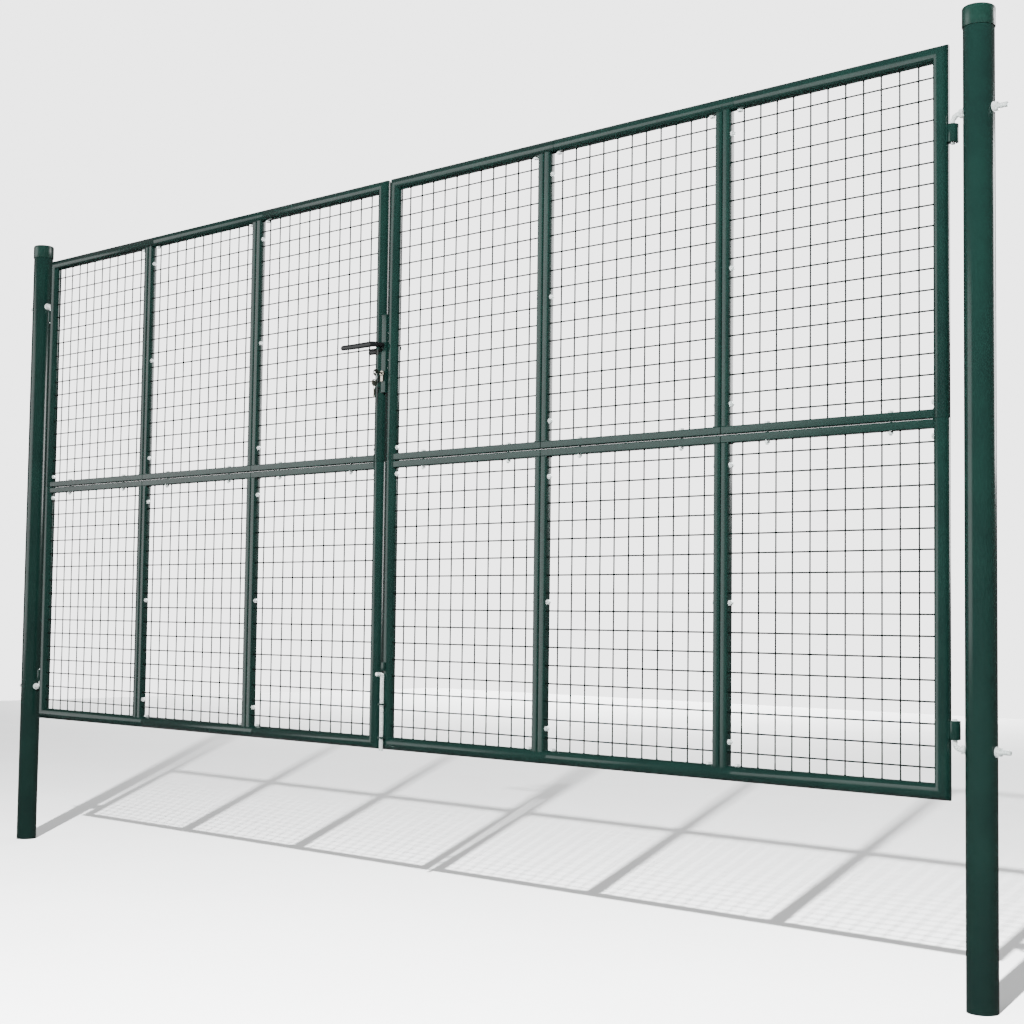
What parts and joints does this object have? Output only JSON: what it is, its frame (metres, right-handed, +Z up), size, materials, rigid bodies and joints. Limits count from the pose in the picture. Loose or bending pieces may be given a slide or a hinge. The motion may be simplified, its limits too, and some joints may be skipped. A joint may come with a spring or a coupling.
{
  "type": "double-leaf welded mesh gate",
  "caption": "Double gate of two mesh leaves, each bolted from framed panels, hung by hook hinges on two round posts, with a lever lock and a drop bolt.",
  "frame": {"origin": "ground-end plane of the two posts, midway between them, in the middle plane of the leaves", "axes": "+X to the right along the closed gate seen from the drop bolt's side, +Y to the rear through the gate, +Z up"},
  "size_m": [4.11, 0.126, 2.28],
  "materials": {
    "green_powder_coat": "moss green powder coat, satin",
    "green_cap_plastic": "moss green plastic, satin",
    "mesh_wire": "dark green powder coat",
    "zinc_plate": "bright zinc plate",
    "nickel_plate": "satin nickel plate",
    "black_lever": "black plastic, satin"
  },
  "bodies": {
    "posts": {"left_post": "green_powder_coat", "right_post": "green_powder_coat", "left_post_cap": "green_cap_plastic", "right_post_cap": "green_cap_plastic", "left_hinge_hooks": "zinc_plate", "right_hinge_hooks": "zinc_plate", "left_hook_nuts": "zinc_plate", "right_hook_nuts": "zinc_plate", "left_hook_washers": "zinc_plate", "right_hook_washers": "zinc_plate"},
    "left_leaf": {"left_upper_hinge_panel": "green_powder_coat", "left_upper_middle_panel": "green_powder_coat", "left_upper_lock_panel": "green_powder_coat", "left_lower_hinge_panel": "green_powder_coat", "left_lower_middle_panel": "green_powder_coat", "left_lower_lock_panel": "green_powder_coat", "left_upper_hinge_mesh": "mesh_wire", "left_upper_middle_mesh": "mesh_wire", "left_upper_lock_mesh": "mesh_wire", "left_lower_hinge_mesh": "mesh_wire", "left_lower_middle_mesh": "mesh_wire", "left_lower_lock_mesh": "mesh_wire", "left_frame_bolts": "zinc_plate", "left_frame_nuts": "zinc_plate", "left_tube_sleeves": "zinc_plate", "left_sleeve_bolts": "zinc_plate", "left_hinge_lugs": "green_powder_coat", "lock_case": "green_powder_coat", "lock_cylinder": "nickel_plate", "escutcheons": "green_powder_coat"},
    "right_leaf": {"right_upper_lock_panel": "green_powder_coat", "right_upper_middle_panel": "green_powder_coat", "right_upper_hinge_panel": "green_powder_coat", "right_lower_lock_panel": "green_powder_coat", "right_lower_middle_panel": "green_powder_coat", "right_lower_hinge_panel": "green_powder_coat", "right_upper_lock_mesh": "mesh_wire", "right_upper_middle_mesh": "mesh_wire", "right_upper_hinge_mesh": "mesh_wire", "right_lower_lock_mesh": "mesh_wire", "right_lower_middle_mesh": "mesh_wire", "right_lower_hinge_mesh": "mesh_wire", "right_frame_bolts": "zinc_plate", "right_frame_nuts": "zinc_plate", "right_tube_sleeves": "zinc_plate", "right_sleeve_bolts": "zinc_plate", "right_hinge_lugs": "green_powder_coat", "keep_channels": "zinc_plate", "drop_bolt_guides": "green_powder_coat"},
    "lever_set": {"lever_spindle": "zinc_plate", "front_lever": "black_lever", "rear_lever": "black_lever"},
    "latch": {"latch_bolt": "nickel_plate"},
    "dead_lock": {"dead_bolt": "nickel_plate"},
    "key_set": {"door_key": "nickel_plate", "cylinder_plug": "nickel_plate"},
    "key_bunch": {"key_ring": "zinc_plate", "spare_key": "nickel_plate"},
    "drop_rod": {"drop_bolt": "zinc_plate"}
  },
  "joints": [
    {"name": "left_leaf_swing", "type": "hinge", "parent": "posts", "child": "left_leaf", "pos_m": [-1.918, 0, 1.335], "axis": [0, 0, -1], "range_deg": [-95, 95]},
    {"name": "right_leaf_swing", "type": "hinge", "parent": "posts", "child": "right_leaf", "pos_m": [1.918, 0, 1.335], "axis": [0, 0, 1], "range_deg": [-95, 95]},
    {"name": "lever_turn", "type": "hinge", "parent": "left_leaf", "child": "lever_set", "pos_m": [-0.004, 0, 1.692], "axis": [0, -1, 0], "range_deg": [0, 40], "stiffness_Nm_per_rad": 1.5, "springref_deg": -34.38},
    {"name": "latch_slide", "type": "slide", "parent": "left_leaf", "child": "latch", "axis": [-1, 0, 0], "range_m": [0, 0.009]},
    {"name": "key_turn", "type": "hinge", "parent": "left_leaf", "child": "key_set", "pos_m": [-0.004, 0, 1.605], "axis": [0, 1, 0], "range_deg": [0, 360]},
    {"name": "dead_bolt_slide", "type": "slide", "parent": "left_leaf", "child": "dead_lock", "axis": [1, 0, 0], "range_m": [0, 0.009]},
    {"name": "key_bunch_swing", "type": "hinge", "parent": "key_set", "child": "key_bunch", "pos_m": [-0.004, -0.051, 1.605], "axis": [1, 0, 0], "range_deg": [-45, 12]},
    {"name": "drop_bolt_slide", "type": "slide", "parent": "right_leaf", "child": "drop_rod", "axis": [0, 0, -1], "range_m": [0, 0.08]}
  ],
  "couplings": [
    {"joint": "latch_slide", "follows": "lever_turn", "m_per_rad": 0.012877},
    {"joint": "dead_bolt_slide", "follows": "key_turn", "m_per_rad": 0.0014308}
  ]
}
